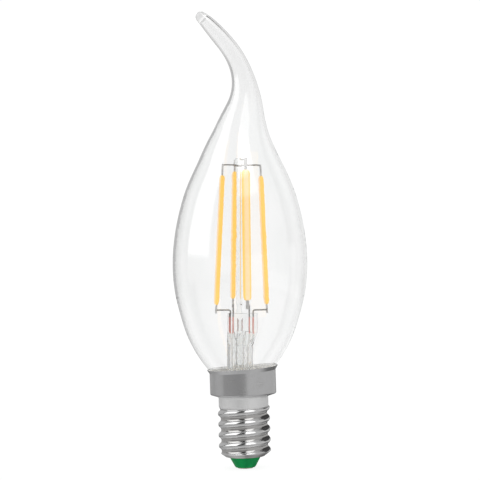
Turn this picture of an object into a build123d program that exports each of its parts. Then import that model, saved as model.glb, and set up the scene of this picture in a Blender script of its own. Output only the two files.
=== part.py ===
from build123d import *
from math import acos, cos, degrees, radians, sin
import os

# A clear LED filament candle bulb with a bent tip on an E14 screw cap. All sizes are in millimetres.
# Z is the axis of the cap, z = 0 is the flat bottom of the centre contact, and the tip bends to -X.
# The glass sits a little off the axis of the cap and leans, as it does in the photo.

# Fits
PLAY = 0.05
WELD_GAP = 0.03
LEAD_END_GAP = 0.1

# Cap shell: one drawn sheet with a rolled thread, a neck, a wide skirt and a flared rim
SHEET = 0.3
THREAD_DIAMETER = 13.7
THREAD_PITCH = 2.822
THREAD_DEPTH = 0.75
THREAD_FLAT = 0.03
THREAD_LENGTH = 12.45
THREAD_FADE = 0.6
THREAD_LEAD_IN = 1.31
THREAD_RUN_OUT = 1.1
THREAD_SINK = 0.12
LIP_HOLE_DIAMETER = 8.5
LIP_FLAT_WIDTH = 0.85
CURL_HEIGHT = 0.75
CAP_NECK_DIAMETER = 13.1
NECK_LENGTH = 2.6
SHOULDER_RISE = 0.7
SKIRT_DIAMETER = 17.44
SKIRT_LENGTH = 6.6
FLARE_LENGTH = 1.0
RIM_OVERHANG = 0.63
RIM_SLANT_ANGLE = 2.8
CAP_BEND = 0.4

# Centre contact and cap insulator
CONTACT_PROUD = 0.25
CONTACT_HEAD_DIAMETER = 4.2
CONTACT_HEAD_SUNK = 0.3
CONTACT_EDGE = 0.12
CONTACT_SHANK_DIAMETER = 1.6
CONTACT_SHANK_LENGTH = 2.75
CONTACT_BORE_DEPTH = 1.6
INSULATOR_DROP = 2.85
INSULATOR_TIP_DIAMETER = 5.56
INSULATOR_EDGE = 0.25
FLANGE_DIAMETER = 9.6
FLANGE_HEIGHT = 1.65

# Driver board and what it carries
BOARD_WIDTH = 8.4
BOARD_HEIGHT = 11.8
BOARD_THICKNESS = 0.8
BOARD_SETBACK = 1.3
BOARD_SLOT_DEPTH = 1.2
CAPACITOR_DIAMETER = 5.0
CAPACITOR_LENGTH = 6.4
CAPACITOR_X = -1.6
CAPACITOR_LIFT = 2.8
CAPACITOR_CRIMP = 0.25
CAPACITOR_CRIMP_HEIGHT = 1.0
CAPACITOR_LEAD_SPACING = 2.0
RESISTOR_DIAMETER = 2.0
RESISTOR_LENGTH = 4.6
RESISTOR_WAIST = 0.15
RESISTOR_END_LENGTH = 0.9
RESISTOR_X = 2.5
RESISTOR_LIFT = 4.4
COMPONENT_LEAD_DIAMETER = 0.5
COMPONENT_LEAD_BEND = 0.5
COMPONENT_LEAD_PROUD = 0.4
RECTIFIER_SIZE = (4.0, 4.7, 1.5)
RECTIFIER_X = -1.6
RECTIFIER_LIFT = 4.2
RECTIFIER_LEAD_SPACING = 2.5
CHIP_SIZE = (2.9, 1.6, 1.1)
CHIP_X = 2.3
CHIP_LIFT = 4.5
CHIP_LEAD_SPACING = 0.95
CHIP_FOOT_WIDTH = 0.4
CHIP_FOOT_LENGTH = 0.6
CHIP_FOOT_THICKNESS = 0.2
NEUTRAL_WIRE_X = -3.7
NEUTRAL_WIRE_LIFT = 9.6
NEUTRAL_WIRE_RISE = 2.2

# How the glass sits in the cap: its frame starts a little under the middle of the slanted rim
GLASS_SINK = 0.5
GLASS_OFFSET = -0.65
GLASS_LEAN = 1.8

# Glass bulb: a neck in the cap, a round body and a tip on a bent centre line
BULB_DIAMETER = 35.52
BULB_WALL = 0.6
BODY_HEIGHT = 54.0
NECK_DEPTH = 4.3
NECK_TURN_DEPTH = 2.4
NECK_TURN_GROWTH = 0.05
CEMENT_WIDTH = 1.62
RIM_GAP = 0.97
TIP_SWAY_RADIUS = 92.0
TIP_SWAY_ANGLE = 9
TIP_BEND_RADIUS = 22.0
TIP_BEND_ANGLE = 47
TIP_DROOP_RADIUS = 66.0
TIP_DROOP_ANGLE = 9
TIP_END_RADIUS = 1.45

# The swell of the glass, each radius as a share of the widest one: by share of the height of the body over
# the rim, and then by share of the length of the centre line of the tip
BODY_SWELL_SHARES = [
    (0.037, 0.563), (0.093, 0.673), (0.167, 0.7855), (0.26, 0.879), (0.37, 0.9615), (0.511, 1.0),
    (0.648, 0.9725), (0.778, 0.896), (0.889, 0.793), (1.0, 0.6435)]
TIP_SWELL_SHARES = [
    (0.096, 0.535), (0.19, 0.429), (0.31, 0.318), (0.4, 0.248), (0.52, 0.179), (0.67, 0.141), (0.82, 0.127),
    (0.93, 0.11)]

# Glass stem with its flat press, and the exhaust tube inside it
STEM_DIAMETER = 6.8
STEM_WALL = 0.75
FLARE_RIM_WIDTH = 0.8
PRESS_TAPER_BOTTOM = 6.2
PRESS_TAPER_LENGTH = 4.1
PRESS_HEIGHT = 4.6
PRESS_OFFSET = 0.7
PRESS_WIDTH = 8.0
PRESS_THICKNESS = 2.4
PRESS_FLOOR = 0.4
CAVITY_WIDTH = 7.3
CAVITY_THICKNESS = 1.0
BOSS_LENGTH = 3.6
EXHAUST_DIAMETER = 3.0
EXHAUST_BORE = 1.5
EXHAUST_TUBE_LENGTH = 15.6
EXHAUST_PORT_DIAMETER = 1.2
EXHAUST_PORT_HEIGHT = 3.3

# Centre rod and its button
ROD_DIAMETER = 1.46
ROD_OFFSET = -0.2
BUTTON_DIAMETER = 2.6
BUTTON_HEIGHT = 2.4
BUTTON_EDGE = 0.9

# Filaments, two pairs across the axis: the front and back pair is a little higher, its back filament turned
# on edge, and the pair at the sides has slid to +X along its wire
FILAMENT_LENGTH = 33.9
FILAMENT_WIDTH = 2.15
FILAMENT_THICKNESS = 1.15
FILAMENT_EDGE = 0.45
FILAMENT_END_EDGE = 0.3
FILAMENT_BOTTOM = 17.2
FILAMENT_PAIR_STEP = 1.3
FILAMENT_BOTTOM_RADIUS = 6.9
FILAMENT_TOP_RADIUS = 5.3
FILAMENT_TURN_ANGLE = 16
SIDE_PAIR_SLIDE = 0.45
BACK_TWIST_ANGLE = 90
STRIP_WIDTH = 0.8
STRIP_THICKNESS = 0.3
TOP_TAB = 3.1
BOTTOM_TAB = 2.3
TAB_END = 0.35

# Wires. The seal wires stand this far to the left and right of the middle of the press
WIRE_DIAMETER = 0.42
WIRE_BEND = 0.6
SEAL_WIRE_LEFT = 3.2
SEAL_WIRE_BACK = 2.5
SEAL_WIRE_FRONT = 1.75
SEAL_WIRE_RIGHT = 2.75
SEAL_WIRE_TAIL = 0.3
SEAL_WIRE_DEPTH = 1.0
LEAD_RISE = 0.5
OUTER_LEAD_X = 2.05
OUTER_LEAD_Y = 0.45
OUTER_LEAD_LAP = 2.2
OUTER_LEAD_REACH = 1.2

# Heights that follow from the sizes
LIP_HEIGHT = CONTACT_PROUD + INSULATOR_DROP
CURL_TOP = LIP_HEIGHT + CURL_HEIGHT
NECK_BASE = CURL_TOP + THREAD_LENGTH
SHOULDER_HEIGHT = NECK_BASE + NECK_LENGTH
RIM_HEIGHT = SHOULDER_HEIGHT + SKIRT_LENGTH + FLARE_LENGTH
FLANGE_BASE = LIP_HEIGHT + SHEET
FLANGE_TOP = FLANGE_BASE + FLANGE_HEIGHT
BOARD_BASE = FLANGE_TOP - BOARD_SLOT_DEPTH
BOARD_TOP = BOARD_BASE + BOARD_HEIGHT
BOARD_FRONT = BOARD_SETBACK - BOARD_THICKNESS / 2
BOARD_BACK = BOARD_SETBACK + BOARD_THICKNESS / 2
PRESS_BASE = PRESS_TAPER_BOTTOM + PRESS_TAPER_LENGTH
PRESS_TOP = PRESS_BASE + PRESS_HEIGHT
CAVITY_TOP = PRESS_BASE - PRESS_FLOOR
BOSS_BASE = CAVITY_TOP - BOSS_LENGTH
SEAL_WIRE_TOP = PRESS_TOP - SEAL_WIRE_DEPTH
SEAL_WIRE_BASE = CAVITY_TOP - SEAL_WIRE_TAIL

# Radii that follow from the sizes
CREST_RADIUS = THREAD_DIAMETER / 2
ROOT_RADIUS = CREST_RADIUS - THREAD_DEPTH
CORE_RADIUS = ROOT_RADIUS + THREAD_FLAT
THREAD_ROUND = (THREAD_DEPTH ** 2 + (THREAD_PITCH / 2) ** 2) / (4 * THREAD_DEPTH)
CAP_NECK_RADIUS = CAP_NECK_DIAMETER / 2
SKIRT_RADIUS = SKIRT_DIAMETER / 2
RIM_DIAMETER = SKIRT_DIAMETER + 2 * RIM_OVERHANG
RIM_RADIUS = RIM_DIAMETER / 2
BULB_RADIUS = BULB_DIAMETER / 2
NECK_RADIUS = SKIRT_RADIUS - SHEET - CEMENT_WIDTH
LIP_HOLE_RADIUS = LIP_HOLE_DIAMETER / 2
WIRE_RADIUS = WIRE_DIAMETER / 2
COMPONENT_LEAD_RADIUS = COMPONENT_LEAD_DIAMETER / 2
STEM_RADIUS = STEM_DIAMETER / 2
EXHAUST_RADIUS = EXHAUST_DIAMETER / 2
EXHAUST_BORE_RADIUS = EXHAUST_BORE / 2

UPRIGHT = (Align.CENTER, Align.CENTER, Align.MIN)
RIM_PLACE = Pos(0, 0, RIM_HEIGHT) * Rot(0, -RIM_SLANT_ANGLE, 0)
FLARE_MIDDLE = Plane(RIM_PLACE).offset(-FLARE_LENGTH / 2)
GLASS_PLACE = Pos(GLASS_OFFSET, 0, RIM_HEIGHT - GLASS_SINK) * Rot(0, GLASS_LEAN, 0)


def in_glass(x, y, z):
    """A point of the glass, which leans, in the frame of the cap."""
    return (GLASS_PLACE * Pos(x, y, z)).position


def post(radius, bottom, top):
    """A round post on the Z axis between two heights."""
    return Pos(0, 0, bottom) * Cylinder(radius, top - bottom, align=UPRIGHT)


def turned(*points):
    """A solid turned about Z from its half section, given as radius and height."""
    section = make_face(Plane.XZ * Polyline(*points, close=True))
    return revolve(section, axis=Axis.Z)


def wire(points, radius, bend):
    """A round wire through the points, with its corners bent."""
    route = FilletPolyline(*points, radius=bend)
    start = Plane(origin=route @ 0, z_dir=route % 0)
    return sweep(start * Circle(radius), path=route)


# Cap shell

def cap_section(inset):
    """The cap up to its flare, filled solid inside its outline or inside a line further in by the inset."""
    over_rim = RIM_HEIGHT + RIM_RADIUS
    outline = FilletPolyline(
        (LIP_HOLE_RADIUS, LIP_HEIGHT),
        (LIP_HOLE_RADIUS + LIP_FLAT_WIDTH, LIP_HEIGHT),
        (CORE_RADIUS, CURL_TOP),
        (CORE_RADIUS, NECK_BASE - THREAD_DEPTH),
        (CAP_NECK_RADIUS, NECK_BASE),
        (CAP_NECK_RADIUS, SHOULDER_HEIGHT),
        (SKIRT_RADIUS, SHOULDER_HEIGHT + SHOULDER_RISE),
        (SKIRT_RADIUS, over_rim),
        radius=CAP_BEND,
    )
    axis_side = Polyline(outline @ 1, (0, over_rim), (0, LIP_HEIGHT), outline @ 0)
    half = make_face(outline + axis_side)
    if inset:
        whole = offset(half + mirror(half, about=Plane.YZ), amount=-inset)
        half = split(whole, bisect_by=Plane.YZ, keep=Keep.TOP)
    whole = revolve(Plane.XZ * half, axis=Axis.Z)
    return split(whole, bisect_by=FLARE_MIDDLE, keep=Keep.BOTTOM)


def rim_flare(inset):
    """The flare that carries the slanted rim, filled solid, or the space inside it right out of the cap."""
    slope = RIM_OVERHANG / FLARE_LENGTH
    reach = 2 * FLARE_LENGTH
    top = reach if inset else 0
    return RIM_PLACE * turned((0, -reach), (RIM_RADIUS - slope * reach - inset, -reach),
                              (RIM_RADIUS + slope * top - inset, top), (0, top))


def thread_roll(inset):
    """The core and ridge of the rolled thread, or the space behind them one sheet further in.

    The round of the crest and the round of the root are alike and run into each other half way.
    """
    crest_centre = Vector(CREST_RADIUS - THREAD_ROUND, 0)
    root_centre = Vector(ROOT_RADIUS + THREAD_ROUND, THREAD_PITCH / 2)
    meeting = crest_centre + (root_centre - crest_centre).normalized() * (THREAD_ROUND - inset)
    root_round = THREAD_ROUND + inset
    foot_angle = acos(1 - THREAD_FLAT / 2 / root_round)
    foot = root_centre - Vector(cos(foot_angle), sin(foot_angle)) * root_round
    between = (meeting + foot) / 2 - root_centre
    upper = ThreePointArc(meeting, root_centre + between.normalized() * root_round, foot)
    crest = ThreePointArc((meeting.X, -meeting.Y), (CREST_RADIUS - inset, 0), (meeting.X, meeting.Y))
    base = foot.X - THREAD_SINK
    inner = Polyline((foot.X, foot.Y), (base, foot.Y), (base, -foot.Y), (foot.X, -foot.Y))
    section = make_face(crest + upper + mirror(upper, about=Plane.XZ) + inner)
    start = LIP_HEIGHT - THREAD_LEAD_IN
    path = Helix(THREAD_PITCH, NECK_BASE + THREAD_RUN_OUT - start, CREST_RADIUS)
    roll = Pos(0, 0, start) * sweep(Plane.XZ * section, path=path, is_frenet=True)
    core = CORE_RADIUS - inset
    over = CREST_RADIUS + THREAD_DEPTH
    fade_slope = THREAD_DEPTH / THREAD_FADE
    fade_top = CURL_TOP + (over - CORE_RADIUS) / fade_slope
    run_out = NECK_BASE - (over - CAP_NECK_RADIUS) / fade_slope
    fade = turned((0, CURL_TOP), (core, CURL_TOP), (over - inset, fade_top), (over - inset, run_out),
                  (CAP_NECK_RADIUS - inset, NECK_BASE), (0, NECK_BASE))
    return post(core, CURL_TOP, NECK_BASE) + (roll & fade)


def cap_solid(inset):
    """The whole cap filled solid, or the space inside its sheet."""
    return thread_roll(inset) + cap_section(inset) + rim_flare(inset)


cap_inside = cap_solid(SHEET)
cap_shell = cap_solid(0) - cap_inside
cap_shell -= post(LIP_HOLE_RADIUS, 0, CURL_TOP)


# Centre contact, a nail with a blind bore for the live lead

head_radius = CONTACT_HEAD_DIAMETER / 2
head_top = CONTACT_PROUD + CONTACT_HEAD_SUNK
shank_radius = CONTACT_SHANK_DIAMETER / 2
shank_top = head_top + CONTACT_SHANK_LENGTH
live_bore_radius = COMPONENT_LEAD_RADIUS + PLAY
centre_contact = turned((0, 0), (head_radius - CONTACT_EDGE, 0), (head_radius, CONTACT_EDGE),
                        (head_radius, head_top), (shank_radius, head_top), (shank_radius, shank_top),
                        (0, shank_top))
centre_contact -= post(live_bore_radius, shank_top - CONTACT_BORE_DEPTH, shank_top)


# Cap insulator, a moulded plug with a flange inside the shell and a slot for the board

plug_radius = LIP_HOLE_RADIUS - PLAY
tip_radius = INSULATOR_TIP_DIAMETER / 2
cap_insulator = turned((0, CONTACT_PROUD), (tip_radius - INSULATOR_EDGE, CONTACT_PROUD),
                       (tip_radius, CONTACT_PROUD + INSULATOR_EDGE), (plug_radius, LIP_HEIGHT),
                       (plug_radius, FLANGE_BASE), (FLANGE_DIAMETER / 2, FLANGE_BASE),
                       (FLANGE_DIAMETER / 2, FLANGE_TOP), (0, FLANGE_TOP))
cap_insulator -= post(head_radius + PLAY, 0, head_top)
cap_insulator -= post(shank_radius + PLAY, 0, shank_top)
cap_insulator -= post(live_bore_radius, 0, FLANGE_TOP)
cap_insulator -= Pos(0, BOARD_SETBACK, BOARD_BASE) * Box(
    BOARD_WIDTH + 2 * PLAY, BOARD_THICKNESS + 2 * PLAY, BOARD_HEIGHT, align=UPRIGHT)


# Smoothing capacitor, a can with a crimp ring and two bent leads

def can(radius, bottom, length):
    """The rolled can of a capacitor, with the crimp ring near its bottom."""
    ring = bottom + CAPACITOR_CRIMP_HEIGHT
    return turned((0, bottom), (radius, bottom), (radius, ring),
                  (radius - CAPACITOR_CRIMP, ring + CAPACITOR_CRIMP), (radius, ring + 2 * CAPACITOR_CRIMP),
                  (radius, bottom + length), (0, bottom + length))


lead_tail = BOARD_BACK + COMPONENT_LEAD_PROUD
capacitor_y = BOARD_FRONT - PLAY - CAPACITOR_DIAMETER / 2
capacitor_base = BOARD_BASE + CAPACITOR_LIFT
capacitor_lead_z = capacitor_base - 2 * COMPONENT_LEAD_BEND
capacitor_leads_x = [CAPACITOR_X + side * CAPACITOR_LEAD_SPACING / 2 for side in (-1, 1)]
smoothing_capacitor = Pos(CAPACITOR_X, capacitor_y, 0) * can(
    CAPACITOR_DIAMETER / 2, capacitor_base, CAPACITOR_LENGTH)
for x in capacitor_leads_x:
    smoothing_capacitor += wire(
        [(x, capacitor_y, capacitor_base), (x, capacitor_y, capacitor_lead_z),
         (x, lead_tail, capacitor_lead_z)],
        COMPONENT_LEAD_RADIUS, COMPONENT_LEAD_BEND)


# Fuse resistor, whose lower lead ends in the centre contact

resistor_radius = RESISTOR_DIAMETER / 2
resistor_y = BOARD_FRONT - PLAY - resistor_radius
resistor_base = BOARD_BASE + RESISTOR_LIFT
resistor_top = resistor_base + RESISTOR_LENGTH
resistor_lead_z = resistor_top + 2 * COMPONENT_LEAD_BEND
waist_radius = resistor_radius - RESISTOR_WAIST
live_end = shank_top - CONTACT_BORE_DEPTH + PLAY
resistor_body = turned(
    (0, resistor_base), (resistor_radius, resistor_base),
    (resistor_radius, resistor_base + RESISTOR_END_LENGTH),
    (waist_radius, resistor_base + RESISTOR_END_LENGTH + RESISTOR_WAIST),
    (waist_radius, resistor_top - RESISTOR_END_LENGTH - RESISTOR_WAIST),
    (resistor_radius, resistor_top - RESISTOR_END_LENGTH), (resistor_radius, resistor_top), (0, resistor_top))
resistor_foot = resistor_base - 2 * COMPONENT_LEAD_BEND
resistor_upper_lead = wire(
    [(RESISTOR_X, resistor_y, resistor_top), (RESISTOR_X, resistor_y, resistor_lead_z),
     (RESISTOR_X, lead_tail, resistor_lead_z)],
    COMPONENT_LEAD_RADIUS, COMPONENT_LEAD_BEND)
resistor_lower_lead = wire(
    [(RESISTOR_X, resistor_y, resistor_base), (RESISTOR_X, resistor_y, resistor_foot),
     (0, 0, FLANGE_TOP + 2 * COMPONENT_LEAD_BEND), (0, 0, live_end)],
    COMPONENT_LEAD_RADIUS, COMPONENT_LEAD_BEND)
fuse_resistor = Pos(RESISTOR_X, resistor_y, 0) * resistor_body + resistor_upper_lead + resistor_lower_lead


# Driver board, with a hole for each bent lead

driver_board = Pos(0, BOARD_SETBACK, BOARD_BASE) * Box(
    BOARD_WIDTH, BOARD_THICKNESS, BOARD_HEIGHT, align=UPRIGHT)
lead_holes = [(x, capacitor_lead_z) for x in capacitor_leads_x]
lead_holes.append((RESISTOR_X, resistor_lead_z))
for x, z in lead_holes:
    driver_board -= Pos(x, BOARD_SETBACK, z) * Rot(90, 0, 0) * Cylinder(
        COMPONENT_LEAD_RADIUS + PLAY, 2 * BOARD_THICKNESS)


# Bridge rectifier and driver chip, flat on the back of the board on their feet

def chip(size, feet_a_side, spacing):
    """A moulded chip on gull-wing feet, flat on the plane y = 0 with a row of feet at each end in Z."""
    width, height, thickness = size
    body = Pos(0, CHIP_FOOT_THICKNESS + (thickness - CHIP_FOOT_THICKNESS) / 2, 0) * Box(
        width, thickness - CHIP_FOOT_THICKNESS, height)
    leg_height = thickness / 2
    foot_z = height / 2 + CHIP_FOOT_LENGTH / 2
    for row in (-1, 1):
        for index in range(feet_a_side):
            x = (index - (feet_a_side - 1) / 2) * spacing
            foot = Pos(x, CHIP_FOOT_THICKNESS / 2, row * foot_z) * Box(
                CHIP_FOOT_WIDTH, CHIP_FOOT_THICKNESS, CHIP_FOOT_LENGTH)
            leg = Pos(x, leg_height / 2, row * (height + CHIP_FOOT_THICKNESS) / 2) * Box(
                CHIP_FOOT_WIDTH, leg_height, CHIP_FOOT_THICKNESS)
            body += foot + leg
    return body


def on_board_back(x, lift, piece):
    """A piece seated on the back face of the board."""
    return Pos(x, BOARD_BACK, BOARD_BASE + lift + BOARD_SLOT_DEPTH) * piece


bridge_rectifier = on_board_back(RECTIFIER_X, RECTIFIER_LIFT, chip(RECTIFIER_SIZE, 2, RECTIFIER_LEAD_SPACING))
driver_chip = on_board_back(CHIP_X, CHIP_LIFT, chip(CHIP_SIZE, 3, CHIP_LEAD_SPACING))


# Neutral wire from the back of the board to the inside of the neck of the shell

neutral_y = BOARD_BACK + WELD_GAP + WIRE_RADIUS
neutral_z = BOARD_TOP + NEUTRAL_WIRE_RISE
neutral_base = Vector(NEUTRAL_WIRE_X, neutral_y, 0)
neutral_end = neutral_base.normalized() * (CAP_NECK_RADIUS - SHEET - LEAD_END_GAP)
neutral_wire = wire(
    [(NEUTRAL_WIRE_X, neutral_y, BOARD_BASE + NEUTRAL_WIRE_LIFT), (NEUTRAL_WIRE_X, neutral_y, neutral_z),
     (neutral_end.X, neutral_end.Y, neutral_z)],
    WIRE_RADIUS, WIRE_BEND)


# Glass bulb: a loft of circles up the body and along the bent centre line of the tip

def tip_line():
    """The centre line of the tip: a slight sway to +X, the bend over to -X and a last droop."""
    sway = JernArc((0, BODY_HEIGHT), (0, 1), TIP_SWAY_RADIUS, -TIP_SWAY_ANGLE)
    bend = JernArc(sway @ 1, sway % 1, TIP_BEND_RADIUS, TIP_BEND_ANGLE)
    droop = JernArc(bend @ 1, bend % 1, TIP_DROOP_RADIUS, TIP_DROOP_ANGLE)
    return Plane.XZ * Wire([sway.edge(), bend.edge(), droop.edge()])


centre_line = tip_line()


def across_tip(share):
    """The plane across the tip at a share of the length of its centre line."""
    return Plane(centre_line @ share, x_dir=(0, 1, 0), z_dir=centre_line % share)


def bulb_skin(wall):
    """The outside of the bulb up to the end of the tip as a solid, or the space inside a wall."""
    stations = [(-NECK_DEPTH, NECK_RADIUS), (-NECK_TURN_DEPTH, NECK_RADIUS + NECK_TURN_GROWTH),
                (0, RIM_RADIUS - RIM_GAP)]
    stations += [(BODY_HEIGHT * height, BULB_RADIUS * swell) for height, swell in BODY_SWELL_SHARES]
    circles = [Pos(0, 0, z) * Rot(0, 0, 90) * Circle(radius - wall) for z, radius in stations]
    for share, swell in TIP_SWELL_SHARES:
        circles.append(across_tip(share) * Circle(BULB_RADIUS * swell - wall))
    circles.append(across_tip(1) * Circle(TIP_END_RADIUS - wall))
    return loft(circles)


# The end of the tip is melted to a bead, which stands into the hollow of the tip
bead = Pos(centre_line @ 1) * Sphere(TIP_END_RADIUS)
bulb_outside = bulb_skin(0) + across_tip(1) * Sphere(TIP_END_RADIUS, arc_size1=0, align=UPRIGHT)
glass_bulb = bulb_outside - (bulb_skin(BULB_WALL) - bead)


# Seal wires, straight through the press

SEAL_WIRE_X = {
    "left": PRESS_OFFSET - SEAL_WIRE_LEFT, "back": PRESS_OFFSET - SEAL_WIRE_BACK,
    "front": PRESS_OFFSET + SEAL_WIRE_FRONT, "right": PRESS_OFFSET + SEAL_WIRE_RIGHT}
seal_wires = {
    side: Pos(x, 0, 0) * post(WIRE_RADIUS, SEAL_WIRE_BASE, SEAL_WIRE_TOP) for side, x in SEAL_WIRE_X.items()}


# Filaments: a strip with bare tabs inside a bar of phosphor

TURNS = {"right": 0, "back": 90, "left": 180, "front": 270}
SLIDES = {"right": SIDE_PAIR_SLIDE, "back": 0, "left": -SIDE_PAIR_SLIDE, "front": 0}
TWISTS = {"right": 0, "back": BACK_TWIST_ANGLE, "left": 0, "front": 0}
filament_lean = (FILAMENT_BOTTOM_RADIUS - FILAMENT_TOP_RADIUS) / FILAMENT_LENGTH


def filament_base(side):
    """The height of the bottom of a filament's phosphor."""
    if side in ("front", "back"):
        return FILAMENT_BOTTOM + FILAMENT_PAIR_STEP
    return FILAMENT_BOTTOM


def around(side):
    """The turn about Z that takes +X to the side of a filament."""
    return Rot(0, 0, FILAMENT_TURN_ANGLE + TURNS[side])


def filament_place(side):
    """A filament stands on its bottom end, leans in at the top and, unless twisted, faces outwards."""
    out = FILAMENT_BOTTOM_RADIUS + SLIDES[side]
    lean = Rot(0, -degrees(filament_lean), 0) * Rot(0, 0, TWISTS[side])
    return around(side) * Pos(out, 0, filament_base(side)) * lean


def tab_face(side, above_base):
    """How far from the axis the inner side of a tab is, at a height over the bottom of the phosphor."""
    twist = radians(TWISTS[side])
    half_depth = (STRIP_THICKNESS * abs(cos(twist)) + STRIP_WIDTH * abs(sin(twist))) / 2
    return FILAMENT_BOTTOM_RADIUS + SLIDES[side] - filament_lean * above_base - half_depth


strip = Pos(0, 0, -BOTTOM_TAB) * Box(
    STRIP_THICKNESS, STRIP_WIDTH, BOTTOM_TAB + FILAMENT_LENGTH + TOP_TAB, align=UPRIGHT)
bar = extrude(RectangleRounded(FILAMENT_THICKNESS, FILAMENT_WIDTH, FILAMENT_EDGE), FILAMENT_LENGTH)
bar_ends = bar.faces().sort_by(Axis.Z)
bar = chamfer(bar_ends[0].edges() + bar_ends[-1].edges(), FILAMENT_END_EDGE)
bar -= strip
strips = {side: filament_place(side) * strip for side in TURNS}
phosphors = {side: filament_place(side) * bar for side in TURNS}


# Top wires, which cross in the button of the centre rod

top_tab_height = FILAMENT_LENGTH + TOP_TAB - TAB_END


def top_wire(side, facing):
    """A straight wire between the top tabs of two facing filaments."""
    height = filament_base(side) + top_tab_height
    out = tab_face(side, top_tab_height) - WELD_GAP
    back = tab_face(facing, top_tab_height) - WELD_GAP
    return around(side) * Pos((out - back) / 2, 0, height) * Rot(0, 90, 0) * Cylinder(WIRE_RADIUS, out + back)


top_wires = {"sides": top_wire("right", "left"), "cross": top_wire("front", "back")}


# Inner leads, from the seal wires to the bottom tabs

def inner_lead(side):
    """A lead that leaves the press upright and bends over to the bottom tab of its filament."""
    x = SEAL_WIRE_X[side]
    bend_height = filament_base(side) - BOTTOM_TAB + TAB_END + LEAD_RISE
    reach = tab_face(side, bend_height - filament_base(side)) - LEAD_END_GAP
    end = (around(side) * Pos(reach, 0, bend_height)).position
    return wire([(x, 0, SEAL_WIRE_TOP), (x, 0, bend_height), tuple(end)], WIRE_RADIUS, WIRE_BEND)


inner_leads = {side: inner_lead(side) for side in TURNS}


# Outer leads, from the seal wires down through the stem to the faces of the board

def outer_lead(side):
    """A lead that runs down beside the exhaust tube and lies on the top of the board, front or back."""
    x = SEAL_WIRE_X[side]
    side_x = OUTER_LEAD_X if x > 0 else -OUTER_LEAD_X
    on_front = side in ("left", "front")
    tube_y = -OUTER_LEAD_Y if on_front else OUTER_LEAD_Y
    from_face = WELD_GAP + WIRE_RADIUS
    board_y = BOARD_FRONT - from_face if on_front else BOARD_BACK + from_face
    below = in_glass(side_x, tube_y, -NECK_DEPTH)
    return wire(
        [in_glass(x, 0, SEAL_WIRE_BASE), in_glass(x, 0, SEAL_WIRE_BASE - WIRE_BEND),
         in_glass(side_x, tube_y, PRESS_TAPER_BOTTOM), below,
         (below.X, board_y, BOARD_TOP + OUTER_LEAD_REACH), (below.X, board_y, BOARD_TOP - OUTER_LEAD_LAP)],
        WIRE_RADIUS, WIRE_BEND)


outer_leads = {side: outer_lead(side) for side in TURNS}


# Glass stem: flare, tube and flat press in one, sealed round the wires

flare_radius = NECK_RADIUS - FLARE_RIM_WIDTH - STEM_RADIUS
flare_top = flare_radius - NECK_DEPTH
flare_edge = NECK_RADIUS - FLARE_RIM_WIDTH
rim_base = -NECK_DEPTH - STEM_WALL
bore_radius = STEM_RADIUS - STEM_WALL
flare_outside = RadiusArc((STEM_RADIUS, flare_top), (flare_edge, -NECK_DEPTH), -flare_radius)
flare_inside = RadiusArc((flare_edge, rim_base), (bore_radius, flare_top), flare_radius + STEM_WALL)
tube_outline = flare_outside + Polyline(
    flare_outside @ 1, (NECK_RADIUS, -NECK_DEPTH), (NECK_RADIUS, rim_base), flare_inside @ 0)
tube_outline += flare_inside + Polyline(
    flare_inside @ 1, (bore_radius, PRESS_TAPER_BOTTOM), (STEM_RADIUS, PRESS_TAPER_BOTTOM), flare_outside @ 0)
stem_tube = revolve(Plane.XZ * make_face(tube_outline), axis=Axis.Z)
press_section = Pos(PRESS_OFFSET, 0, PRESS_BASE) * SlotOverall(PRESS_WIDTH, PRESS_THICKNESS)
taper = loft([Pos(0, 0, PRESS_TAPER_BOTTOM) * Circle(STEM_RADIUS), press_section])
cavity = loft([Pos(0, 0, PRESS_TAPER_BOTTOM) * Circle(bore_radius),
               Pos(PRESS_OFFSET, 0, CAVITY_TOP) * SlotOverall(CAVITY_WIDTH, CAVITY_THICKNESS)])
glass_stem = stem_tube + (taper - cavity) + extrude(press_section, PRESS_HEIGHT)
glass_stem += post(EXHAUST_RADIUS, BOSS_BASE, PRESS_BASE)
port_height = PRESS_BASE + EXHAUST_PORT_HEIGHT
glass_stem -= post(EXHAUST_BORE_RADIUS, BOSS_BASE, port_height)
glass_stem -= Pos(0, 0, port_height) * Rot(90, 0, 0) * Cylinder(
    EXHAUST_PORT_DIAMETER / 2, PRESS_THICKNESS, align=UPRIGHT)
for side in TURNS:
    glass_stem -= seal_wires[side] + inner_leads[side]


# Exhaust tube, tipped off round at its lower end

tube_tip = BOSS_BASE - EXHAUST_TUBE_LENGTH + EXHAUST_RADIUS
exhaust_tube = post(EXHAUST_RADIUS, tube_tip, BOSS_BASE) + Pos(0, 0, tube_tip) * Sphere(EXHAUST_RADIUS)
exhaust_tube -= post(EXHAUST_BORE_RADIUS, tube_tip, BOSS_BASE)


# Centre rod, melted to a button round the top wires

button_middle = FILAMENT_BOTTOM + FILAMENT_PAIR_STEP / 2 + top_tab_height
button = post(BUTTON_DIAMETER / 2, button_middle - BUTTON_HEIGHT / 2, button_middle + BUTTON_HEIGHT / 2)
button = fillet(button.edges().filter_by(GeomType.CIRCLE), BUTTON_EDGE)
centre_rod = Pos(ROD_OFFSET, 0, 0) * (post(ROD_DIAMETER / 2, PRESS_TOP, button_middle) + button)
centre_rod -= top_wires["sides"] + top_wires["cross"]


# Basing cement, the ring between the skirt and the neck of the glass

cement = post(SKIRT_DIAMETER, RIM_HEIGHT - NECK_DEPTH + CAP_BEND, RIM_HEIGHT + FLARE_LENGTH)
cement = split(cement, bisect_by=FLARE_MIDDLE, keep=Keep.BOTTOM)
basing_cement = (cement & cap_inside) - GLASS_PLACE * bulb_outside


# Every piece by name, the ones of the glass moved to where the glass sits

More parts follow.
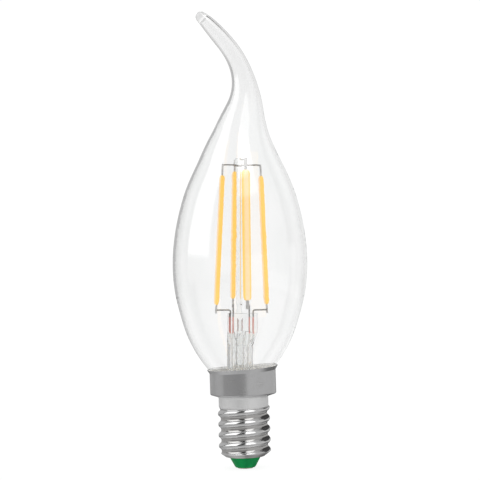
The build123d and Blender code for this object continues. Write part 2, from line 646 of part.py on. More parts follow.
pieces = {
    "cap_shell": cap_shell,
    "cap_insulator": cap_insulator,
    "centre_contact": centre_contact,
    "basing_cement": basing_cement,
    "driver_board": driver_board,
    "smoothing_capacitor": smoothing_capacitor,
    "fuse_resistor": fuse_resistor,
    "bridge_rectifier": bridge_rectifier,
    "driver_chip": driver_chip,
    "neutral_wire": neutral_wire,
    "glass_bulb": GLASS_PLACE * glass_bulb,
    "glass_stem": GLASS_PLACE * glass_stem,
    "exhaust_tube": GLASS_PLACE * exhaust_tube,
    "centre_rod": GLASS_PLACE * centre_rod,
}
for pair, piece in top_wires.items():
    pieces["top_wire_" + pair] = GLASS_PLACE * piece
for side in TURNS:
    pieces["phosphor_" + side] = GLASS_PLACE * phosphors[side]
    pieces["filament_strip_" + side] = GLASS_PLACE * strips[side]
    pieces["inner_lead_" + side] = GLASS_PLACE * inner_leads[side]
    pieces["seal_wire_" + side] = GLASS_PLACE * seal_wires[side]
    pieces["outer_lead_" + side] = outer_leads[side]

os.makedirs("parts", exist_ok=True)
for name, piece in pieces.items():
    export_step(piece, "parts/" + name + ".step")
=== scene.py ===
from math import copysign, pi, radians, sin, sqrt

import bmesh
import bpy
from mathutils import Matrix, Vector


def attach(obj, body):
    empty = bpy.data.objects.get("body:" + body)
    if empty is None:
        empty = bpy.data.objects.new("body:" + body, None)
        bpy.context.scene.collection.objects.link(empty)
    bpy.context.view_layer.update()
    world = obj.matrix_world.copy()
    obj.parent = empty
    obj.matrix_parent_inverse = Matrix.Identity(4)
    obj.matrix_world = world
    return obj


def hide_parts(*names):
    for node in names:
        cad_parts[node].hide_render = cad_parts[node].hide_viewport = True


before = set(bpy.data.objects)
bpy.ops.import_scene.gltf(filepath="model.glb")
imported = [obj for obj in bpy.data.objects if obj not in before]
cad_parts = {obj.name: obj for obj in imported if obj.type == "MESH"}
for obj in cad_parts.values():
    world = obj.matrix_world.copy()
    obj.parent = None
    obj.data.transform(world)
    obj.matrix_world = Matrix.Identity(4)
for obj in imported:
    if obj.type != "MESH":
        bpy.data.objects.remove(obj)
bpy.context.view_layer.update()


# Cap shell: one sheet of plated metal, drawn to a cup, rolled to a thread and cemented on the glass.
# The rollers leave the thread bright like a mirror, the plain neck is duller,
# and the wide skirt with its flared rim has a satin finish.
def new_material(name):
    """An empty node material with its Principled shader."""
    material = bpy.data.materials.new(name)
    material.use_nodes = True
    shader = material.node_tree.nodes["Principled BSDF"]
    return material, material.node_tree, shader


def node(tree, kind, **settings):
    """A node with its settings, where a name that is an input sets that input."""
    made = tree.nodes.new(kind)
    for key, value in settings.items():
        if key in made.inputs:
            made.inputs[key].default_value = value
        else:
            setattr(made, key, value)
    return made


def sums(tree, operation, first, second=0.0):
    """A sum on two values, each a number or an output of another node."""
    made = node(tree, "ShaderNodeMath", operation=operation)
    for socket, value in zip(made.inputs, (first, second)):
        if isinstance(value, (int, float)):
            socket.default_value = value
        else:
            tree.links.new(value, socket)
    return made.outputs[0]


def ramp(tree, value, start, end, at_start=0.0, at_end=1.0):
    """A value that goes smoothly from one level to another between two limits."""
    made = node(tree, "ShaderNodeMapRange", interpolation_type="SMOOTHSTEP")
    for socket, level in zip(made.inputs[1:5], (start, end, at_start, at_end)):
        socket.default_value = level
    tree.links.new(value, made.inputs["Value"])
    return made.outputs[0]


def speckle(tree, size, stretch=(1, 1, 1), detail=3.0):
    """Soft random tones between 0 and 1 with spots of one size, drawn out along an axis."""
    place = node(tree, "ShaderNodeTexCoord").outputs["Object"]
    scaled = node(tree, "ShaderNodeMapping", Scale=[1 / (size * axis) for axis in stretch])
    tree.links.new(place, scaled.inputs["Vector"])
    spots = node(tree, "ShaderNodeTexNoise", Scale=1.0, Detail=detail)
    tree.links.new(scaled.outputs[0], spots.inputs["Vector"])
    return spots.outputs["Fac"]


def follow(tree, tones, low=0.0, high=1.0):
    """A level that follows soft random tones from low to high."""
    return ramp(tree, tones, 0.3, 0.7, low, high)


def blend(tree, share, first, second):
    """A colour between two, each a colour or an output of another node."""
    made = node(tree, "ShaderNodeMix", data_type="RGBA")
    tree.links.new(share, made.inputs[0])
    for socket, colour in zip((made.inputs[6], made.inputs[7]), (first, second)):
        if isinstance(colour, tuple):
            socket.default_value = (*colour, 1)
        else:
            tree.links.new(colour, socket)
    return made.outputs[2]


def emboss(tree, shader, height, depth):
    """Raises the surface by a pattern, to a depth in metres."""
    made = node(tree, "ShaderNodeBump", Strength=1.0, Distance=depth)
    tree.links.new(height, made.inputs["Height"])
    tree.links.new(made.outputs[0], shader.inputs["Normal"])


def dress(name, material):
    """Gives a CAD node its finish."""
    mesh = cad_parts[name].data
    mesh.materials.clear()
    mesh.materials.append(material)


MM = 0.001
GROOVE_RADIUS = 6.12 * MM
FLANK_RADIUS = 6.5 * MM
NECK_BASE = 16.3 * MM
NECK_FADE = 0.5 * MM
SHOULDER_HEIGHT = 18.9 * MM
SHOULDER_FADE = 0.3 * MM
INSIDE_FADE = 1.0 * MM
SMUDGE_SIZE = 2.4 * MM
TURNING_LINE = 0.12 * MM
TURNING_STRETCH = (40, 40, 1)
TURNING_DEPTH = 0.004 * MM
THREAD_BRIGHT = (0.9, 0.9, 0.9)
# Painted shade: the thread's grooves are coloured darker than its crests
GROOVE_PAINTED_SHADE = (0.62, 0.61, 0.6)
NECK_GREY = (0.8, 0.8, 0.8)
SKIRT_GREY = (0.7, 0.7, 0.705)
INSIDE_PALE = (0.88, 0.88, 0.87)
SMUDGE_BROWN = (0.42, 0.4, 0.38)
SMUDGE_SHARE = 0.12
NECK_DULL_SHARE = 0.25
INSIDE_DULL_SHARE = 0.8
THREAD_ROUGHNESS = 0.12
NECK_ROUGHNESS = 0.45
SKIRT_ROUGHNESS = 0.2

cap_metal, tree, shader = new_material("cap_metal")
place = node(tree, "ShaderNodeSeparateXYZ")
tree.links.new(node(tree, "ShaderNodeTexCoord").outputs["Object"], place.inputs[0])
across = sums(tree, "MULTIPLY", place.outputs["X"], place.outputs["X"])
along = sums(tree, "MULTIPLY", place.outputs["Y"], place.outputs["Y"])
radius = sums(tree, "SQRT", sums(tree, "ADD", across, along))
on_flank = ramp(tree, radius, GROOVE_RADIUS, FLANK_RADIUS)
on_neck = ramp(tree, place.outputs["Z"], NECK_BASE - NECK_FADE, NECK_BASE)
on_skirt = ramp(tree, place.outputs["Z"], SHOULDER_HEIGHT, SHOULDER_HEIGHT + SHOULDER_FADE)
only_neck = sums(tree, "SUBTRACT", on_neck, on_skirt)
outward = node(tree, "ShaderNodeMapping", Scale=(1, 1, 0))
tree.links.new(node(tree, "ShaderNodeTexCoord").outputs["Object"], outward.inputs["Vector"])
facing = node(tree, "ShaderNodeVectorMath", operation="DOT_PRODUCT")
tree.links.new(node(tree, "ShaderNodeNewGeometry").outputs["Normal"], facing.inputs[0])
tree.links.new(outward.outputs[0], facing.inputs[1])
on_inside = ramp(tree, facing.outputs["Value"], 0.0, -INSIDE_FADE)
neck_dull = sums(tree, "MULTIPLY", only_neck, NECK_DULL_SHARE)
inside_dull = sums(tree, "MULTIPLY", on_inside, INSIDE_DULL_SHARE)
dull_share = sums(tree, "MAXIMUM", neck_dull, inside_dull)
tree.links.new(sums(tree, "SUBTRACT", 1.0, dull_share), shader.inputs["Metallic"])
smudge = speckle(tree, SMUDGE_SIZE)
turning = speckle(tree, TURNING_LINE, TURNING_STRETCH)
# The thread is painted darker towards the bottom of each groove, as shade
thread_tone = blend(tree, on_flank, GROOVE_PAINTED_SHADE, THREAD_BRIGHT)
lower_tone = blend(tree, on_neck, thread_tone, NECK_GREY)
outer_tone = blend(tree, on_skirt, lower_tone, SKIRT_GREY)
tone = blend(tree, on_inside, outer_tone, INSIDE_PALE)
stained = blend(tree, ramp(tree, smudge, 0.35, 0.75, 0.0, SMUDGE_SHARE), tone, SMUDGE_BROWN)
tree.links.new(stained, shader.inputs["Base Color"])
lower_rough = ramp(tree, on_neck, 0, 1, THREAD_ROUGHNESS, NECK_ROUGHNESS)
smudge_rough = sums(tree, "ADD", lower_rough, follow(tree, smudge, 0.0, 0.05))
skirt_change = ramp(tree, on_skirt, 0, 1, 0.0, SKIRT_ROUGHNESS - NECK_ROUGHNESS)
outer_rough = sums(tree, "ADD", smudge_rough, skirt_change)
lined_rough = sums(tree, "ADD", outer_rough, follow(tree, turning, -0.02, 0.03))
tree.links.new(lined_rough, shader.inputs["Roughness"])
emboss(tree, shader, turning, TURNING_DEPTH)
dress("cap_shell", cap_metal)


# Cap insulator: a green glassy plug moulded into the bottom lip of the shell.
# It keeps a smooth skin with faint flow marks, a little darker where it was pressed last.
INSULATOR_GREEN = (0.0, 0.22, 0.052)
INSULATOR_DARK = (0.0, 0.15, 0.038)
FLOW_SIZE = 1.6 * MM
FLOW_STRETCH = (1, 1, 2.5)
FLOW_DEPTH = 0.03 * MM
SKIN_GRAIN = 0.5 * MM

cap_insulator, tree, shader = new_material("cap_insulator")
flow = speckle(tree, FLOW_SIZE, FLOW_STRETCH)
green = blend(tree, ramp(tree, flow, 0.3, 0.75), INSULATOR_GREEN, INSULATOR_DARK)
tree.links.new(green, shader.inputs["Base Color"])
tree.links.new(follow(tree, speckle(tree, SKIN_GRAIN), 0.28, 0.42), shader.inputs["Roughness"])
shader.inputs["Specular IOR Level"].default_value = 0.1
shader.inputs["Coat Weight"].default_value = 0.03
shader.inputs["Coat Roughness"].default_value = 0.12
emboss(tree, shader, flow, FLOW_DEPTH)
dress("cap_insulator", cap_insulator)


# Centre contact: a plated nail pressed up through the insulator, with its flat head standing out of it.
# Its plating has gone a little yellow and is scratched by lamp holders.
CONTACT_PLATE = (0.72, 0.68, 0.58)
CONTACT_TARNISH = (0.46, 0.4, 0.3)
TARNISH_SIZE = 1.2 * MM
SCRATCH_WIDTH = 0.25 * MM
SCRATCH_STRETCH = (8, 1, 1)
SCRATCH_DEPTH = 0.01 * MM

contact_metal, tree, shader = new_material("contact_metal")
shader.inputs["Metallic"].default_value = 1.0
scratch = speckle(tree, SCRATCH_WIDTH, SCRATCH_STRETCH, detail=5.0)
tarnish_share = ramp(tree, speckle(tree, TARNISH_SIZE), 0.35, 0.7)
tarnish = blend(tree, tarnish_share, CONTACT_PLATE, CONTACT_TARNISH)
tree.links.new(tarnish, shader.inputs["Base Color"])
tree.links.new(follow(tree, scratch, 0.22, 0.45), shader.inputs["Roughness"])
emboss(tree, shader, scratch, SCRATCH_DEPTH)
dress("centre_contact", contact_metal)


# Driver board: a small upright plate of glass fibre in green lacquer, its foot in the slot of the insulator.
# The weave of the fibre shows faintly through the lacquer.
BOARD_GREEN = (0.02, 0.13, 0.045)
BOARD_PALE = (0.05, 0.2, 0.08)
WEAVE_SIZE = 0.25 * MM
WEAVE_STRETCH = 6
WEAVE_LOW = 0.1
WEAVE_HIGH = 0.45
WEAVE_DEPTH = 0.015 * MM

board, tree, shader = new_material("board")
weave_across = speckle(tree, WEAVE_SIZE, (WEAVE_STRETCH, WEAVE_STRETCH, 1), detail=0.0)
weave_up = speckle(tree, WEAVE_SIZE, (1, 1, WEAVE_STRETCH), detail=0.0)
weave = sums(tree, "MULTIPLY", weave_across, weave_up)
lacquer = blend(tree, ramp(tree, weave, WEAVE_LOW, WEAVE_HIGH), BOARD_GREEN, BOARD_PALE)
tree.links.new(lacquer, shader.inputs["Base Color"])
tree.links.new(ramp(tree, weave, WEAVE_LOW, WEAVE_HIGH, 0.3, 0.48), shader.inputs["Roughness"])
emboss(tree, shader, weave, WEAVE_DEPTH)
dress("driver_board", board)


# Parts on the board: a capacitor in a shrunk dark sleeve, a fuse resistor under grey blue enamel,
# and a rectifier and a driver chip in black moulding, all soldered by their leads or feet.
COAT_FINENESS = 6


def coat(slot, light, dark, size, rough_low, rough_high, depth):
    """A paint, sleeve or moulding with mottled colour, uneven gloss and a fine skin."""
    material, tree, shader = new_material(slot)
    mottle = speckle(tree, size)
    tree.links.new(blend(tree, follow(tree, mottle), light, dark), shader.inputs["Base Color"])
    grain = speckle(tree, size / COAT_FINENESS)
    tree.links.new(follow(tree, grain, rough_low, rough_high), shader.inputs["Roughness"])
    emboss(tree, shader, grain, depth)
    return material


capacitor_sleeve = coat(
    "capacitor_sleeve", light=(0.02, 0.022, 0.03), dark=(0.008, 0.009, 0.013),
    size=1.5 * MM, rough_low=0.25, rough_high=0.4, depth=0.01 * MM)
resistor_coat = coat(
    "resistor_coat", light=(0.18, 0.28, 0.34), dark=(0.11, 0.18, 0.23),
    size=0.8 * MM, rough_low=0.35, rough_high=0.5, depth=0.02 * MM)
chip_black = coat(
    "chip_black", light=(0.02, 0.02, 0.02), dark=(0.009, 0.009, 0.009),
    size=0.7 * MM, rough_low=0.45, rough_high=0.65, depth=0.012 * MM)
dress("smoothing_capacitor", capacitor_sleeve)
dress("fuse_resistor", resistor_coat)
dress("bridge_rectifier", chip_black)
dress("driver_chip", chip_black)


# Wires: drawn nickel inside the bulb and tinned copper below it, with red copper-clad wire in the seal,
# where glass has to grip the metal, and rolled strip under the filaments.
# Each is straight from the spool, dull from drawing and heat.
SIDES = ("left", "back", "front", "right")
HEAT_MARK = 1.3 * MM
DIE_LINE = 0.06 * MM
DIE_LINE_STRETCH = (1, 1, 20)
DIE_LINE_DEPTH = 0.004 * MM


def drawn_metal(slot, light, dark, rough_low, rough_high, metallic):
    """A drawn or rolled metal with heat marks and fine die lines."""
    material, tree, shader = new_material(slot)
    shader.inputs["Metallic"].default_value = metallic
    heat = speckle(tree, HEAT_MARK)
    tree.links.new(blend(tree, follow(tree, heat), light, dark), shader.inputs["Base Color"])
    lines = speckle(tree, DIE_LINE, DIE_LINE_STRETCH, detail=2.0)
    tree.links.new(follow(tree, lines, rough_low, rough_high), shader.inputs["Roughness"])
    emboss(tree, shader, lines, DIE_LINE_DEPTH)
    return material


support_wire = drawn_metal(
    "support_wire", light=(0.5, 0.49, 0.48), dark=(0.34, 0.335, 0.33),
    rough_low=0.28, rough_high=0.42, metallic=0.5)
lead_wire = drawn_metal(
    "lead_wire", light=(0.92, 0.91, 0.9), dark=(0.8, 0.79, 0.77),
    rough_low=0.25, rough_high=0.4, metallic=0.1)
seal_copper = coat(
    "seal_copper", light=(0.9, 0.47, 0.42), dark=(0.78, 0.32, 0.28),
    size=1.1 * MM, rough_low=0.3, rough_high=0.45, depth=0.006 * MM)
strip_metal = drawn_metal(
    "strip_metal", light=(0.74, 0.73, 0.72), dark=(0.58, 0.57, 0.56),
    rough_low=0.3, rough_high=0.45, metallic=0.5)
for name in ("top_wire_sides", "top_wire_cross", "neutral_wire"):
    dress(name, support_wire)
for side in SIDES:
    dress("inner_lead_" + side, support_wire)
    dress("outer_lead_" + side, lead_wire)
    dress("seal_wire_" + side, seal_copper)
    dress("filament_strip_" + side, strip_metal)


# Stem: a glass tube flared at its foot and squeezed flat round the wires while it was hot,
# with the exhaust tube melted in from below and a solid rod with a melted button on top.
# Squeezing leaves the glass wavy and a little uneven in tone.
def worked_glass(slot, wave_size, wave_depth, tint):
    """Clear glass with the soft waves that working it hot leaves."""
    material, tree, shader = new_material(slot)
    shader.inputs["Roughness"].default_value = 0.0
    shader.inputs["IOR"].default_value = 1.5
    shader.inputs["Transmission Weight"].default_value = 1.0
    waves = speckle(tree, wave_size, (1, 1, 2), detail=1.0)
    tone = blend(tree, follow(tree, waves), (1.0, 1.0, 1.0), tint)
    tree.links.new(tone, shader.inputs["Base Color"])
    emboss(tree, shader, waves, wave_depth)
    return material, tree, shader, tone


stem_glass = worked_glass(
    "stem_glass", wave_size=0.8 * MM, wave_depth=0.055 * MM, tint=(0.95, 0.96, 0.955))[0]
for name in ("glass_stem", "exhaust_tube", "centre_rod"):
    dress(name, stem_glass)


# Filaments: four strips of tiny LEDs under bars of silicone rubber with yellow phosphor in it,
# cast along the strip and left as a rounded tongue at each end, where the bare tab comes out.
# The rubber is yellow at the sides and paler over the chips in the middle, a band that is partly a painted
# highlight, and it is given a faint painted glow.
GLASS_BASE = Vector((-0.65, 0, 26.0)) * MM
GLASS_LEAN = radians(1.8)
FILAMENT_LENGTH = 33.9 * MM
FILAMENT_HALF_WIDTH = 1.075 * MM
FILAMENT_HALF_THICKNESS = 0.575 * MM
FILAMENT_BOTTOM = 17.2 * MM
FILAMENT_PAIR_STEP = 1.3 * MM
FILAMENT_BOTTOM_RADIUS = 6.9 * MM
FILAMENT_TOP_RADIUS = 5.3 * MM
FILAMENT_TURN = radians(16)
SIDE_PAIR_SLIDE = 0.45 * MM
TURNS = {"right": 0, "back": pi / 2, "left": pi, "front": 3 * pi / 2}
SLIDES = {"right": SIDE_PAIR_SLIDE, "back": 0, "left": -SIDE_PAIR_SLIDE, "front": 0}
TWISTS = {"right": 0, "back": pi / 2, "left": 0, "front": 0}
TONGUE_LENGTH = 1.1 * MM
TONGUE_END_SHARE = 0.42
TONGUE_RINGS = 6
BAR_SPANS = 10
BAR_CORNERS = 32
BAR_SQUARENESS = 0.62
PHOSPHOR_YELLOW = (1.0, 0.62, 0.11)
PHOSPHOR_DEEP = (1.0, 0.52, 0.14)
# Pale middle of a bar: partly the chips showing through, partly a painted highlight
PHOSPHOR_PALE_AND_SHEEN = (1.0, 0.74, 0.5)
# Painted glow: a faint light of the bars' own, though they are no lamp here
PHOSPHOR_PAINTED_GLOW = (1.0, 0.75, 0.33)
PAINTED_GLOW_STRENGTH = 0.15
PALE_AND_SHEEN_SHARE = 0.85
DEEP_SHARE = 0.25
PHOSPHOR_GRAIN = 0.5 * MM
PHOSPHOR_GRAIN_DEPTH = 0.02 * MM

glass_place = Matrix.Translation(GLASS_BASE) @ Matrix.Rotation(GLASS_LEAN, 4, "Y")


def filament_place(side):
    """Where a filament stands: on its bottom end, leaning in at the top, twisted about its length."""
    raised = FILAMENT_PAIR_STEP if side in ("front", "back") else 0
    stand = Vector((FILAMENT_BOTTOM_RADIUS + SLIDES[side], 0, FILAMENT_BOTTOM + raised))
    lean = (FILAMENT_BOTTOM_RADIUS - FILAMENT_TOP_RADIUS) / FILAMENT_LENGTH
    around = Matrix.Rotation(FILAMENT_TURN + TURNS[side], 4, "Z")
    turned = Matrix.Rotation(-lean, 4, "Y") @ Matrix.Rotation(TWISTS[side], 4, "Z")
    return glass_place @ around @ Matrix.Translation(stand) @ turned


def ring_tube(bm, ring, places):
    """Draws a ring of edges out through each place in turn, and returns the last ring."""
    before = places[0]
    for place in places[1:]:
        drawn = bmesh.ops.extrude_edge_only(bm, edges=ring)["geom"]
        ring = [item for item in drawn if isinstance(item, bmesh.types.BMEdge) and item.is_boundary]
        corners = {corner for edge in ring for corner in edge.verts}
        bmesh.ops.transform(bm, matrix=place @ before.inverted(), verts=list(corners))
        before = place
    return ring


def new_piece(name, bm, material):
    """A finished mesh as an object of the scene, smooth all over."""
    bmesh.ops.recalc_face_normals(bm, faces=bm.faces)
    for face in bm.faces:
        face.smooth = True
    mesh = bpy.data.meshes.new(name)
    bm.to_mesh(mesh)
    bm.free()
    mesh.materials.append(material)
    piece = bpy.data.objects.new(name, mesh)
    bpy.context.scene.collection.objects.link(piece)
    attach(piece, "root")
    return piece


def tongue_share(distance):
    """How wide the bar is at a distance from its end, as a share of its full width."""
    left = max(0, 1 - distance / TONGUE_LENGTH)
    return TONGUE_END_SHARE + (1 - TONGUE_END_SHARE) * sqrt(1 - left * left)


phosphor, tree, shader = new_material("phosphor")
sideways = node(tree, "ShaderNodeAttribute", attribute_name="sideways").outputs["Fac"]
# The pale band down the middle of each bar is partly the chips showing through and partly a painted
# highlight
pale_and_sheen_share = ramp(tree, sums(tree, "ABSOLUTE", sideways), 0.1, 0.8, PALE_AND_SHEEN_SHARE, 0.0)
lined = blend(tree, pale_and_sheen_share, PHOSPHOR_YELLOW, PHOSPHOR_PALE_AND_SHEEN)
grain = speckle(tree, PHOSPHOR_GRAIN)
rubber = blend(tree, ramp(tree, grain, 0.4, 0.8, 0.0, DEEP_SHARE), lined, PHOSPHOR_DEEP)
tree.links.new(rubber, shader.inputs["Base Color"])
tree.links.new(follow(tree, grain, 0.3, 0.45), shader.inputs["Roughness"])
emboss(tree, shader, grain, PHOSPHOR_GRAIN_DEPTH)
# Painted glow: a faint emission that makes the bars brighter than the light reaching them would
shader.inputs["Emission Color"].default_value = (*PHOSPHOR_PAINTED_GLOW, 1)
shader.inputs["Emission Strength"].default_value = PAINTED_GLOW_STRENGTH

# Each ring of a bar: its height, and how far it is from the nearer end, up to the length of a tongue
tongue_rings = [TONGUE_LENGTH * step / TONGUE_RINGS for step in range(TONGUE_RINGS)]
bar_rings = [(distance, distance) for distance in tongue_rings]
bar_rings += [(FILAMENT_LENGTH * step / BAR_SPANS, TONGUE_LENGTH) for step in range(1, BAR_SPANS)]
bar_rings += [(FILAMENT_LENGTH - distance, distance) for distance in reversed(tongue_rings)]

for side in SIDES:
    places = []
    for height, distance in bar_rings:
        share = tongue_share(distance)
        size = Matrix.Diagonal((FILAMENT_HALF_THICKNESS * share, FILAMENT_HALF_WIDTH * share, MM, 1))
        places.append(filament_place(side) @ Matrix.Translation((0, 0, height)) @ size)
    bm = bmesh.new()
    sideways_layer = bm.verts.layers.float.new("sideways")
    bmesh.ops.create_circle(bm, cap_ends=False, segments=BAR_CORNERS, radius=1)
    for corner in bm.verts:
        corner[sideways_layer] = corner.co.y
        corner.co.x = copysign(abs(corner.co.x) ** BAR_SQUARENESS, corner.co.x)
        corner.co.y = copysign(abs(corner.co.y) ** BAR_SQUARENESS, corner.co.y)
    bmesh.ops.transform(bm, matrix=places[0], verts=bm.verts)
    foot = list(bm.edges)
    head = ring_tube(bm, foot, places)
    for ring in (foot, head):
        bmesh.ops.edgeloop_fill(bm, edges=ring)
    bar = new_piece("phosphor_bar_" + side, bm, phosphor)
    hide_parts("phosphor_" + side)


# Glass bulb: blown thin and clear, its tip drawn out soft, bent over and melted off to a bead.
# Drawing leaves very faint streaks, and the tip and most of all the bead are tinted a little grey.
TIP_GREY = (0.968, 0.968, 0.968)
TIP_GREY_FROM = 92 * MM
TIP_GREY_FULL = 104 * MM
BEAD_GREY = (0.76, 0.76, 0.76)
BEAD_PLACE = Vector((-7.98, 0, 119.29)) * MM
BEAD_GREY_FROM = 1.8 * MM
BEAD_GREY_FULL = 1.4 * MM

bulb_glass, tree, shader, tone = worked_glass(
    "bulb_glass", wave_size=6 * MM, wave_depth=0.004 * MM, tint=(0.985, 0.99, 0.988))
place = node(tree, "ShaderNodeTexCoord").outputs["Object"]
height = node(tree, "ShaderNodeSeparateXYZ")
tree.links.new(place, height.inputs[0])
on_tip = ramp(tree, height.outputs["Z"], TIP_GREY_FROM, TIP_GREY_FULL)
tip_tone = blend(tree, on_tip, tone, TIP_GREY)
away = node(tree, "ShaderNodeVectorMath", operation="DISTANCE")
away.inputs[1].default_value = BEAD_PLACE
tree.links.new(place, away.inputs[0])
on_bead = ramp(tree, away.outputs["Value"], BEAD_GREY_FROM, BEAD_GREY_FULL)
tree.links.new(blend(tree, on_bead, tip_tone, BEAD_GREY), shader.inputs["Base Color"])
dress("glass_bulb", bulb_glass)


# Basing cement: a pale resin with mineral filler, pressed as a ring between the skirt and the neck
# and baked hard with the cap on, so that its top stays rough and a little uneven.
cement = coat(
    "cement", light=(0.82, 0.81, 0.79), dark=(0.66, 0.65, 0.63),
    size=0.6 * MM, rough_low=0.7, rough_high=0.9, depth=0.05 * MM)
dress("basing_cement", cement)


# Studio: a white table under a white tent, seen from the front with the glass upright in the picture.
# Lamps and dark gaps round the camera show only as reflections in the metal and the glass.
VIEW_HEIGHT = 34.15 * MM
VIEW_DISTANCE = 425 * MM
VIEW_WIDTH = 126.7 * MM
FILM_WIDTH = 36
WHITE = 1.03
ROOM_GLOW = 0.06

glass_up = glass_place.to_3x3() @ Vector((0, 0, 1))
camera_data = bpy.data.cameras.new("camera")
camera_data.sensor_width = FILM_WIDTH
camera_data.lens = FILM_WIDTH * VIEW_DISTANCE / VIEW_WIDTH
camera = bpy.data.objects.new("camera", camera_data)
bpy.context.scene.collection.objects.link(camera)
camera.location = GLASS_BASE + glass_up * VIEW_HEIGHT - Vector((0, VIEW_DISTANCE, 0))
camera.rotation_euler = (radians(90), GLASS_LEAN, 0)
bpy.context.scene.camera = camera

world = bpy.data.worlds.new("studio")
bpy.context.scene.world = world
world.use_nodes = True
tree = world.node_tree
direction = node(tree, "ShaderNodeTexCoord").outputs["Generated"]
turned = node(tree, "ShaderNodeMapping", Rotation=(0, 0, radians(90)))
around = node(tree, "ShaderNodeTexGradient", gradient_type="RADIAL")
upward = node(tree, "ShaderNodeSeparateXYZ")
tree.links.new(direction, turned.inputs["Vector"])
tree.links.new(turned.outputs[0], around.inputs[0])
tree.links.new(direction, upward.inputs[0])


def within(value, low, high, soft):
    """One between two limits and nothing outside them, with a soft edge."""
    away = sums(tree, "ABSOLUTE", sums(tree, "SUBTRACT", value, (low + high) / 2))
    return ramp(tree, away, (high - low) / 2 + soft, (high - low) / 2 - soft)


def card(azimuth_low, azimuth_high, rise_low, rise_high, brightness, soft=0.01):
    """A lamp or card between two azimuths right of the camera and two rises, all in degrees."""
    across = within(around.outputs["Fac"], azimuth_low / 360 + 0.5, azimuth_high / 360 + 0.5, soft)
    up = within(upward.outputs["Z"], sin(radians(rise_low)), sin(radians(rise_high)), 3 * soft)
    return sums(tree, "MULTIPLY", sums(tree, "MULTIPLY", across, up), brightness)


def together(cards):
    """All of some cards at once, over a faint glow from the rest of the room."""
    total = ROOM_GLOW
    for each in cards:
        total = sums(tree, "ADD", each, total)
    return total


# The lamps are full in the front wall of the glass and dimmed in what mirrors behind it
FRONT_WALL_DEPTH = 2.5
LEFT_LAMP_BEHIND = 0.4
TOP_LAMP_BEHIND = 0.1
path = node(tree, "ShaderNodeLightPath")
on_front = sums(tree, "LESS_THAN", path.outputs["Transmission Depth"], FRONT_WALL_DEPTH)
left_lamp = card(-102, -55, 5, 75, 2.0, 0.012)
top_lamp = sums(tree, "ADD", card(-4, 44, 50, 90, 6.0), card(-4, 44, 35, 50, 1.6))
room_on_glass = together([
    sums(tree, "MULTIPLY", left_lamp, ramp(tree, on_front, 0, 1, LEFT_LAMP_BEHIND, 1.0)),
    sums(tree, "MULTIPLY", top_lamp, ramp(tree, on_front, 0, 1, TOP_LAMP_BEHIND, 1.0)),
    card(44, 92, 5, 80, 0.45),
    card(110, 185, -10, 40, 0.97, 0.04),
    card(-185, -112, -10, 90, 0.55, 0.02),
    card(-112, 12, -16, 5, 0.25),
    card(12, 110, -16, 5, 0.6),
    card(-112, 110, -90, -16, 0.5, 0.03),
    card(110, 185, -90, -10, 1.1, 0.03),
    card(-185, -112, -90, -10, 0.9, 0.03),
])
room_on_metal = together([
    card(-102, -36, 8, 75, 1.6),
    card(2, 50, 8, 85, 1.7),
    card(50, 100, 5, 80, 0.5),
    card(-185, -112, -10, 90, 0.5, 0.02),
    card(-112, -73, -16, 6, 0.53),
    card(-73, 12, -16, 6, 0.33),
    card(12, 160, -16, 6, 0.6),
    # Painted shadow: for the metal the table is darker straight below and to the right behind, where the
    # bulb's own shadow would lie
    card(-185, 100, -90, -16, 0.45, 0.06),
    card(100, 185, -90, -16, 0.18, 0.06),
    card(-200, 200, -90, -45, 0.25, 0.04),
])
on_glass = path.outputs["Is Singular Ray"]
on_metal = sums(tree, "SUBTRACT", 1.0, on_glass)
glass_glow = sums(tree, "MULTIPLY", room_on_glass, on_glass)
glow = sums(tree, "ADD", glass_glow, sums(tree, "MULTIPLY", room_on_metal, on_metal))
room = node(tree, "ShaderNodeBackground")
tree.links.new(glow, room.inputs["Strength"])

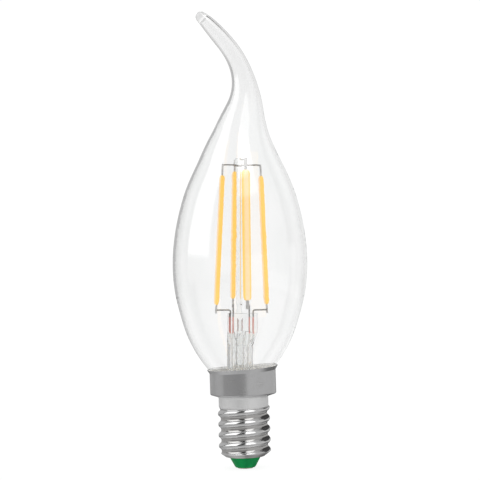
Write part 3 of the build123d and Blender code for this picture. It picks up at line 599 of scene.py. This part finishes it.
# The room shows in mirrored light and, in part, in light that the stem bends far aside.
# All other light sees the white tent
STEM_DEPTH = 4.5
ASIDE_FROM = 0.3
ASIDE_FULL = 0.1
ASIDE_SHARE = 0.6
mirrored = sums(tree, "GREATER_THAN", path.outputs["Glossy Depth"], 0.5)
aside = ramp(tree, upward.outputs["Y"], ASIDE_FROM, ASIDE_FULL)
through_stem = sums(tree, "GREATER_THAN", path.outputs["Transmission Depth"], STEM_DEPTH)
bent_aside = sums(tree, "MULTIPLY", aside, sums(tree, "MULTIPLY", through_stem, ASIDE_SHARE))
straight = sums(tree, "LESS_THAN", path.outputs["Diffuse Depth"], 0.5)
room_share = sums(tree, "MULTIPLY", sums(tree, "MAXIMUM", mirrored, bent_aside), straight)
tent = tree.nodes["Background"]
tent.inputs["Color"].default_value = (1, 1, 1, 1)
tent.inputs["Strength"].default_value = WHITE
both = node(tree, "ShaderNodeMixShader")
tree.links.new(room_share, both.inputs[0])
tree.links.new(tent.outputs[0], both.inputs[1])
tree.links.new(room.outputs[0], both.inputs[2])
tree.links.new(both.outputs[0], tree.nodes["World Output"].inputs["Surface"])

FLOOR_HALF_WIDTH = 3
FLOOR_ALBEDO = 0.15

bm = bmesh.new()
bmesh.ops.create_grid(bm, x_segments=1, y_segments=1, size=FLOOR_HALF_WIDTH)
floor_mesh = bpy.data.meshes.new("floor")
bm.to_mesh(floor_mesh)
bm.free()
floor = bpy.data.objects.new("floor", floor_mesh)
bpy.context.scene.collection.objects.link(floor)
floor_paint, tree, shader = new_material("floor_paint")
shader.inputs["Base Color"].default_value = (FLOOR_ALBEDO, FLOOR_ALBEDO, FLOOR_ALBEDO, 1)
shader.inputs["Roughness"].default_value = 1.0
shader.inputs["Specular IOR Level"].default_value = 0.0
shader.inputs["Emission Color"].default_value = (1, 1, 1, 1)
shader.inputs["Emission Strength"].default_value = WHITE * (1 - FLOOR_ALBEDO)
floor_mesh.materials.append(floor_paint)
floor.visible_glossy = False
floor.visible_transmission = False

# Light bounces many times inside a glass wall before it comes out
BOUNCES = 200
bpy.context.scene.cycles.max_bounces = BOUNCES
bpy.context.scene.cycles.glossy_bounces = BOUNCES
bpy.context.scene.cycles.transmission_bounces = BOUNCES
bpy.context.scene.cycles.blur_glossy = 0.0
bpy.context.scene.view_settings.view_transform = "Standard"
